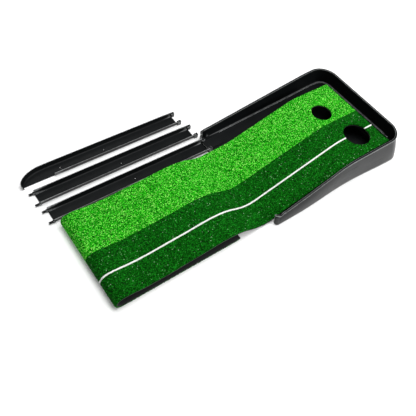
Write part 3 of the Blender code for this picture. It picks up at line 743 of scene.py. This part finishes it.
def cutBy(target, cutter, operation="DIFFERENCE"):
    # One Boolean, applied at once, with a tool that isn't kept.
    mesh = bpy.data.meshes.new("tool")
    bmesh.ops.recalc_face_normals(cutter, faces=cutter.faces)
    cutter.to_mesh(mesh)
    cutter.free()
    mesh.transform(Matrix.Translation(onFrame))
    tool = bpy.data.objects.new("tool", mesh)
    bpy.context.scene.collection.objects.link(tool)
    step = target.modifiers.new("Cut", "BOOLEAN")
    step.operation = operation
    step.object = tool
    bpy.context.view_layer.update()
    cut = target.evaluated_get(bpy.context.evaluated_depsgraph_get())
    result = bpy.data.meshes.new_from_object(cut)
    target.modifiers.clear()
    target.data = result
    bpy.data.objects.remove(tool)


def cleanMesh(target, distance=0.00002):
    # Slivers that the Booleans leave are merged away.
    bm = bmesh.new()
    bm.from_mesh(target.data)
    bmesh.ops.remove_doubles(bm, verts=bm.verts, dist=distance)
    bmesh.ops.dissolve_degenerate(bm, edges=bm.edges, dist=distance)
    bmesh.ops.recalc_face_normals(bm, faces=bm.faces)
    bm.to_mesh(target.data)
    bm.free()


lineLeft = turf["lineY"] + turf["lineWidth"] / 2
lineRight = turf["lineY"] - turf["lineWidth"] / 2
seam = turf["seam"]
backing = turfBacking()
light = pileBand("lightBand", bandSplit + seam / 2, matLeft, lightPile, ["light_band"], 11)
inner = pileBand("darkBandInner", lineLeft + seam, bandSplit - seam / 2, darkPile,
                 ["dark_band_inner"], 12)
outer = pileBand("darkBandOuter", matRight, lineRight - seam, darkPile, ["dark_band_outer"], 13)


def rowAt(x):
    # The row nearest to a place on the frame, counted from the far edge.
    topRows = 600
    return int(np.argmin(np.abs(underPath[:topRows, 0] - x)))


beyondCup = rowAt(largeCup["x"] + largeCup["radius"])
beforeCup = rowAt(largeCup["x"] - largeCup["radius"] - 0.0008)
line = pileBand("whiteLine", lineRight, lineLeft, whitePile, ["white_line"], 14,
                firstRow=beforeCup, lumps=0.6)
lineFar = pileBand("whiteLineFar", lineRight, lineLeft, whitePile, ["white_line_far"], 15,
                   lastRow=beyondCup, lumps=0.6)
print("turf made")


# the frame's wall

shell = {
    "right": matRight - 0.020,
    "left": matLeft + 0.079,
    "far": 1.108,
    "leanRight": 0.0135,
    "leanLeft": 0.0065,
    "leanFar": 0.041,
    "baseCorner": 0.045,
    "rimCorner": 0.0565,
    "waistFrom": 0.620,
    "waistTo": 1.080,
    "waistDepth": 0.009,
    "rim": 0.1145,
    "bottom": 0.0012,
    "thickness": 0.0025,
    "nearRight": 0.538,
    "nearLeft": 0.535,
    "nearRimRight": 0.047,
    "nearRimLeft": 0.040,
    "nearSlope": 0.22,
    "nose": 0.0078,
    "noseDrop": 0.003,
    "rightReturn": 0.004,
    "leftReturn": 0.0005,
    "rightSlope": 0.288,
    "rightCrest": 0.8144,
    "leftSlope": 0.166,
    "leftCrest": 0.988,
    "lip": 0.0042,
    "lipDrop": 0.0030,
    "lipRound": 0.0013,
    "bulge": 0.0030,
    "skin": 0.0080,  # the gutter side of the wall thickens down to its floor
    "fillet": 0.0045,
}
gutterFloor = {
    "near": 0.5336,
    "outlet": 0.0082,
    "slope": 0.0889,
    "cross": 0.012,
    "left": matLeft + 0.0695,
}
post = {
    "radius": 0.0045,
    "low": 0.0058,
    "top": 0.046,
    "hole": 0.0018,
    "holeLow": 0.003,
    "holeTop": 0.0149,
    "setIn": 0.0038,
    "alongRight": (0.640, 0.900),
    "acrossFar": (matRight + 0.065, matLeft - 0.035),
}


def gutterHeight(x, y):
    rise = gutterFloor["slope"] * (min(x, mat["turfFar"]) - gutterFloor["near"])
    return gutterFloor["outlet"] + rise + gutterFloor["cross"] * (gutterFloor["left"] - y)


def shellStations():
    # A side of the frame, a place along it and, on an arc, the angle round it.
    angles = [math.radians(5 * k) for k in range(19)]
    farStart = shell["far"] - shell["leanFar"] - shell["rimCorner"]
    stations = [("right return", shell["rightReturn"]), ("right return", shell["rightReturn"] / 2)]
    stations += [("right nose", angle) for angle in angles[::2]]
    start = shell["nearRight"] + shell["nose"]
    stations += [("right", start + (farStart - start) * k / 60) for k in range(1, 60)]
    stations += [("right corner", angle) for angle in angles]
    stations += [("far", k / 24) for k in range(1, 24)]
    stations += [("left corner", angle) for angle in angles]
    start = shell["nearLeft"] + shell["nose"]
    stations += [("left", start + (farStart - start) * k / 90) for k in range(89, 0, -1)]
    stations += [("left nose", angle) for angle in reversed(angles[::2])]
    return stations + [("left return", shell["leftReturn"])]


def rimHeight(side, place):
    # The long rims slope down to the player with eased bends.
    nearRim = shell["nearRimRight"] if side.startswith("right") else shell["nearRimLeft"]
    if side in ("right", "left"):
        heights = []
        for k in range(-4, 5):
            along = place + 0.008 * k
            line = shell["rim"] - shell[side + "Slope"] * (shell[side + "Crest"] - along)
            if side == "right":
                line = max(line, nearRim + shell["nearSlope"] * (along - shell["nearRight"]))
            heights.append(max(nearRim, min(shell["rim"], line)))
        return sum(heights) / len(heights)
    if side.endswith("nose"):
        return nearRim - shell["noseDrop"] * (1 - math.sin(place)) ** 1.5
    if side.endswith("return"):
        return nearRim - shell["noseDrop"] - place / 2
    return shell["rim"]


def wallPlace(side, place, height):
    # The wall's middle at a height, and the direction out of the frame.
    share = height / shell["rim"]
    right = shell["right"] + shell["leanRight"] * share
    left = shell["left"] - shell["leanLeft"] * share
    far = shell["far"] - shell["leanFar"] * share
    corner = shell["baseCorner"] + (shell["rimCorner"] - shell["baseCorner"]) * share
    isRight = side.startswith("right")
    near, turn, edge = (shell["nearRight"], -1, right) if isRight else (shell["nearLeft"], 1, left)
    if side.endswith("return"):
        return Vector((near, edge - turn * (shell["nose"] + place), height)), Vector((-1, 0, 0))
    if side.endswith("nose"):
        outward = Vector((-math.cos(place), turn * math.sin(place), 0))
        middle = Vector((near + shell["nose"], edge - turn * shell["nose"], height))
        return middle + shell["nose"] * outward, outward
    if side == "right":
        if shell["waistFrom"] < place < shell["waistTo"]:
            along = (place - shell["waistFrom"]) / (shell["waistTo"] - shell["waistFrom"])
            edge += shell["waistDepth"] * (1 - share) * math.sin(math.pi * along) ** 2
        return Vector((place, edge, height)), Vector((0, -1, 0))
    if side == "left":
        return Vector((place, edge, height)), Vector((0, 1, 0))
    if side == "far":
        y = right + corner + (left - right - 2 * corner) * place
        return Vector((far, y, height)), Vector((1, 0, 0))
    angle = place - math.pi / 2 if isRight else place
    outward = Vector((math.cos(angle), math.sin(angle), 0))
    y = right + corner if isRight else left - corner
    return Vector((far - corner, y, height)) + corner * outward, outward


def shellSection(rim, floor, blend):
    # Offsets out of the wall's middle, and heights, once round the section.
    half, bottom = shell["thickness"] / 2, shell["bottom"]
    skin = shell["skin"] * blend
    fillet = 0.0004 + (shell["fillet"] - 0.0004) * blend
    foot = bottom + (floor - bottom) * blend
    points = []
    base = foot + 0.0003
    for k in range(7):
        angle = math.pi / 2 * k / 6
        offset = -half - skin - fillet * (1 - math.sin(angle))
        points.append((offset, base + fillet * (1 - math.cos(angle))))
    rounding = shell["lipRound"]
    low, high = base + fillet, rim - rounding
    for k in range(1, 9):
        share = k / 9
        points.append((-half - skin * (1 - share) ** 1.3, low + (high - low) * share))
    for k in range(5):
        angle = math.pi - math.pi / 2 * k / 4
        offset = -half + rounding + rounding * math.cos(angle)
        points.append((offset, high + rounding * math.sin(angle)))
    outer = half + shell["lip"]
    points.append(((outer - half) / 2, rim - 0.00015))
    for k in range(6):
        angle = math.pi / 2 * (1 - k / 5)
        offset = outer - rounding + rounding * math.cos(angle)
        points.append((offset, high + rounding * math.sin(angle)))
    under = rim - shell["lipDrop"]
    points += [(outer - 0.0001, under + 0.0005), (outer - 0.0007, under)]
    points.append((half + 0.0013, under + 0.0004))
    for k in range(15):
        share = k / 14
        swell = shell["bulge"] * math.sin(math.pi * share) * min(1.0, (rim - bottom) / 0.07)
        drop = (bottom + 0.0008 - under - 0.0002) * share
        points.append((half + swell, under + 0.0002 + drop))
    points += [(half - 0.0007, bottom), (-half + 0.0003, bottom)]
    points += [(-half, bottom + 0.0001 + (foot - bottom) * 0.8), (-half - skin - fillet, foot - 0.0002)]
    return points


def gutterBlend(side, place):
    # 1 where the wall stands beside the gutter's floor, falling to 0 elsewhere.
    if side in ("far", "left corner"):
        return 1.0
    if side == "right corner":
        return min(1.0, max(0.0, (math.degrees(place) - 45) / 45))
    if side == "left":
        return min(1.0, max(0.0, (place - shell["nearLeft"] - shell["nose"]) / 0.016))
    return 0.0


def frameShell():
    bm = bmesh.new()
    rings = []
    for side, place in shellStations():
        rim = rimHeight(side, place)
        middle = wallPlace(side, place, rim / 2)[0]
        floor = gutterHeight(middle.x, middle.y)
        ring = []
        for offset, height in shellSection(rim, floor, gutterBlend(side, place)):
            spot, outward = wallPlace(side, place, height)
            ring.append(bm.verts.new(spot + outward * offset))
        rings.append(ring)
    loft(bm, rings)
    made = finishObject("frameShell", bm, frameFinish, "frame", sharp=50)
    for x in post["alongRight"]:
        spot = wallPlace("right", x, post["top"])[0]
        addPost(made, spot.x, spot.y + post["setIn"])
    farWall = shell["far"] - shell["leanFar"] * (post["top"] / shell["rim"])
    for y in post["acrossFar"]:
        addPost(made, farWall - post["setIn"], y)
    made.data.set_sharp_from_angle(angle=math.radians(50))
    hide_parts("frame_wall")
    return made


def addPost(target, x, y):
    # A screw post that grows out of the wall, hollow for its screw.
    cutBy(target, roundTool(x, y, post["low"], post["top"], post["radius"], 32), "UNION")
    cutBy(target, roundTool(x, y, post["holeLow"], post["holeTop"], post["hole"], 32))


# return rails

rail = {
    "width": 0.050,
    "height": 0.0175,
    "draft": 0.004,
    "wall": 0.0022,
    "fillet": 0.0024,
    "length": 0.568,
    "prong": 0.0165,
    "prongRoot": 0.004,
    "prongLow": 0.0027,
    "prongHigh": 0.0092,
    "prongOuter": 0.0010,
    "prongInner": 0.0064,
    "swell": 0.0010,
    "lugLength": 0.009,
    "lugHeight": 0.0150,
    "lugOuter": -0.0006,
    "lugInner": 0.0082,
    "cutBack": 0.0115,
    "hole": 0.0018,
    "plateInset": 0.0020,
}
endRail = {"length": 0.560, "curve": 0.085, "opening": 0.105}
railPlaces = {
    "firstRail": {"far": 0.5445, "left": matLeft + 0.0685},
    "secondRail": {"far": 0.5385, "left": matLeft + 0.1420},
    "endRail": {"far": 0.523, "left": matLeft + 0.2175},
}


def railWall(path):
    # A wall with a rounded top and a fillet at its foot, along points with their inward sides.
    top, wall, draft, fillet = rail["height"], rail["wall"], rail["draft"], rail["fillet"]
    section = [(draft + 0.0009, 0.0), (draft + 0.0002, 0.0008)]
    section += [(draft * (1 - share), top * share) for share in (0.35, 0.7, 0.93)]
    section += [(0.0003, top - 0.0003), (0.0011, top), (wall - 0.0003, top - 0.0003)]
    for share in (0.93, 0.7, 0.45):
        section.append((wall + draft * (1 - share), top * share))
    low = wall + fillet
    base = wall + draft * (1 - low / top)
    for k in range(6):
        angle = math.pi / 2 * k / 5
        offset = base + fillet * (1 - math.cos(angle))
        section.append((offset, low - fillet * math.sin(angle) + 0.0001))
    section += [(base + fillet, 0.0008), (draft + 0.0015, 0.0008)]
    bm = bmesh.new()
    loft(bm, [[bm.verts.new((x + ix * o, y + iy * o, h)) for o, h in section]
              for x, y, ix, iy in path])
    return bm


def railFloor(outline):
    bm = bmesh.new()
    plate = bm.faces.new([bm.verts.new((x, y, 0.0002)) for x, y in outline])
    raised = bmesh.ops.extrude_face_region(bm, geom=[plate])["geom"]
    upper = [v for v in raised if isinstance(v, bmesh.types.BMVert)]
    bmesh.ops.translate(bm, vec=(0, 0, rail["wall"] - 0.0002), verts=upper)
    return bm


def softBlock(low, high, rounding=0.0004):
    bm = bmesh.new()
    bmesh.ops.create_cube(bm, size=1)
    bmesh.ops.scale(bm, vec=[b - a for a, b in zip(low, high)], verts=bm.verts)
    bmesh.ops.translate(bm, vec=[(a + b) / 2 for a, b in zip(low, high)], verts=bm.verts)
    if rounding:
        bmesh.ops.bevel(bm, geom=bm.edges[:], offset=rounding, segments=2, affect="EDGES",
                        profile=0.5)
    return bm


def screwHole(made, x, y):
    cutBy(made, roundTool(x, y, -0.01, 0.01, rail["hole"], 24))


def railEnds(made, near, far, right, left, cutBack):
    # Sockets at the far end and, where the rail has them, prongs at the near end.
    inner, outer, lug = rail["lugInner"], rail["lugOuter"], rail["lugLength"]
    prongLow, prongHigh, root = rail["prongLow"], rail["prongHigh"], rail["prongRoot"]
    past, under, over, gap = far + 0.01, -0.01, 0.03, 0.0003  # how far the tools reach
    cutBy(made, softBlock((far - cutBack, right + inner - gap, under),
                          (past, left - inner + gap, over), 0))
    cutBy(made, softBlock((far - lug, right - 0.01, under), (past, left + 0.01, over), 0))
    for edge, inward in ((right, 1), (left, -1)):
        a, b = sorted((edge + inward * outer, edge + inward * inner))
        socket = softBlock((far - 1.6 * lug, a, 0.0003), (far, b, rail["lugHeight"]), 0.0007)
        cutBy(made, socket, "UNION")
        a, b = sorted((edge + inward * (rail["prongOuter"] - 0.0004),
                       edge + inward * (rail["prongInner"] + 0.0004)))
        cutBy(made, softBlock((far - lug, a, prongLow - 0.0008), (past, b, prongHigh + 0.0005), 0))
        if near is None:
            continue
        a, b = sorted((edge + inward * rail["prongOuter"], edge + inward * rail["prongInner"]))
        base, swell = near + rail["prong"], rail["swell"]
        cutBy(made, softBlock((near, a, prongLow), (base + root, b, prongHigh), 0.0006), "UNION")
        cutBy(made, softBlock((base - root, a - swell, prongLow - swell),
                              (base + root / 2, b + swell, prongHigh + swell), 0.0005), "UNION")


def straightRail(name, node, body, far, left, cutBack=rail["cutBack"]):
    near, right = far - rail["length"], left - rail["width"]
    start = near + rail["prong"]
    steps = [start + (far - start) * k / 12 for k in range(13)]
    inset = rail["draft"] + rail["plateInset"]
    low, high = right + inset, left - inset
    plate = railFloor([(start, low), (far, low), (far, high), (start, high)])
    made = finishObject(name, plate, railFinish, body)
    cutBy(made, railWall([(x, right, 0, 1) for x in steps]), "UNION")
    cutBy(made, railWall([(x, left, 0, -1) for x in steps]), "UNION")
    railEnds(made, near, far, right, left, cutBack)
    screwHole(made, (start + far) / 2, (left + right) / 2)
    return finishRail(made, node)


def curvedRail(name, node, body, far, left):
    near, right = far - endRail["length"], left - rail["width"]
    length, width = endRail["curve"], rail["width"]
    path = [(far - (far - near - length) * k / 12, left, 0, -1) for k in range(12)]
    rimLine = []
    for k in range(25):
        turn = math.pi / 2 * (1 + k / 24)
        x, y = near + length + length * math.cos(turn), right + width * math.sin(turn)
        inward = -Vector((math.cos(turn) / length, math.sin(turn) / width)).normalized()
        rimLine.append((x, y, inward.x, inward.y))
    inset = rail["draft"] + rail["plateInset"]
    outline = [(far, right + inset), (far, left - inset)]
    bend = [(x + ix * inset, y + iy * inset) for x, y, ix, iy in rimLine]
    outline += [spot for spot in bend if spot[1] > right + inset + 0.0003]
    outline.append((outline[-1][0], right + inset))
    made = finishObject(name, railFloor(outline), railFinish, body)
    cutBy(made, railWall(path + rimLine), "UNION")
    opening = near + endRail["opening"]
    rightWall = [(opening + (far - opening) * k / 12, right, 0, 1) for k in range(13)]
    cutBy(made, railWall(rightWall), "UNION")
    railEnds(made, None, far, right, left, rail["cutBack"])
    for x in (near + 1.25 * endRail["opening"], (near + far) / 2):
        screwHole(made, x, (left + right) / 2)
    return finishRail(made, node)


def finishRail(made, node):
    cleanMesh(made)
    made.data.shade_smooth()
    made.data.set_sharp_from_angle(angle=math.radians(38))
    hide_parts(node)
    return made


frameShell()
print("frame made")
# The first rail's socket isn't cut back so far, because the gutter's end fills it.
straightRail("firstRail", "rail_1", "first_rail", **railPlaces["firstRail"], cutBack=0.004)
straightRail("secondRail", "rail_2", "second_rail", **railPlaces["secondRail"])
curvedRail("endRail", "end_rail", "last_rail", **railPlaces["endRail"])
print("rails made")


# finishes of the carried-over pieces

finishes = {
    "gutter": floorFinish,
    "deck": floorFinish,
    "base_pan": hiddenFinish,
    "ball_chute": hiddenFinish,
}
footRubber, screwSteel, hookTape = rubberMaterial(), steelMaterial(), hookMaterial()
for name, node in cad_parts.items():
    finish = finishes.get(name)
    if name.startswith("foot_"):
        finish = footRubber
    elif name.startswith("screw_"):
        finish = screwSteel
    elif name.startswith("hook_strip"):
        finish = hookTape
    if finish:
        node.data.materials.clear()
        node.data.materials.append(finish)


# floor, light and camera

studio = {
    "floorColour": (0.88, 0.88, 0.88),
    "floorGlow": 0.10,
    "sky": 0.25,
    # name, place, target, size and power
    "lights": [
        ("overhead", (0.1, -0.05, 2.3), (0.05, 0, 0), (1.7, 1.7), 60),
        ("left", (0.1, 2.0, 1.3), (0, 0, 0), (1.2, 0.5), 10),
        ("edges", (0.9, -1.35, 1.05), (0, 0.1, 0.03), (1.4, 0.35), 18),
    ],
}


def studioSet():
    bpy.ops.mesh.primitive_plane_add(size=30, location=(0, 0, -0.0004))
    floor = bpy.context.object
    floor.name = "floor"
    made, nodes, links, shader = newMaterial("Pale floor")
    shader.inputs["Base Color"].default_value = (*studio["floorColour"], 1)
    shader.inputs["Roughness"].default_value = 0.9
    shader.inputs["Specular IOR Level"].default_value = 0.1
    shader.inputs["Emission Color"].default_value = (1, 1, 1, 1)
    shader.inputs["Emission Strength"].default_value = studio["floorGlow"]
    floor.data.materials.append(made)
    world = bpy.data.worlds.new("Studio")
    bpy.context.scene.world = world
    world.use_nodes = True
    background = world.node_tree.nodes["Background"]
    background.inputs["Color"].default_value = (1, 1, 1, 1)
    background.inputs["Strength"].default_value = studio["sky"]


def areaLight(name, place, target, size, power):
    lamp = bpy.data.lights.new(name, "AREA")
    lamp.shape = "RECTANGLE"
    lamp.size, lamp.size_y = size
    lamp.energy = power
    made = bpy.data.objects.new(name, lamp)
    bpy.context.scene.collection.objects.link(made)
    made.location = place
    made.rotation_euler = (Vector(target) - Vector(place)).to_track_quat("-Z", "Y").to_euler()
    return made


camera = {
    "fromDeckCorner": (-1.2610, -0.7899, 1.1434),
    "turn": -0.8066,
    "down": 0.9400,
    "roll": 0.2219,
    "lens": 44.34,
}


def placeCamera():
    made = bpy.data.objects.new("camera", bpy.data.cameras.new("camera"))
    bpy.context.scene.collection.objects.link(made)
    made.data.lens = camera["lens"]
    place = Matrix.Translation(deckHigh + Vector(camera["fromDeckCorner"]))
    turn = Matrix.Rotation(camera["turn"], 4, "Z")
    tilt = Matrix.Rotation(math.pi / 2 - camera["down"], 4, "X")
    made.matrix_world = place @ turn @ tilt @ Matrix.Rotation(camera["roll"], 4, "Z")
    bpy.context.scene.camera = made


studioSet()
for lamp in studio["lights"]:
    areaLight(*lamp)
placeCamera()
bpy.context.scene.view_settings.view_transform = "Standard"
print("studio made")
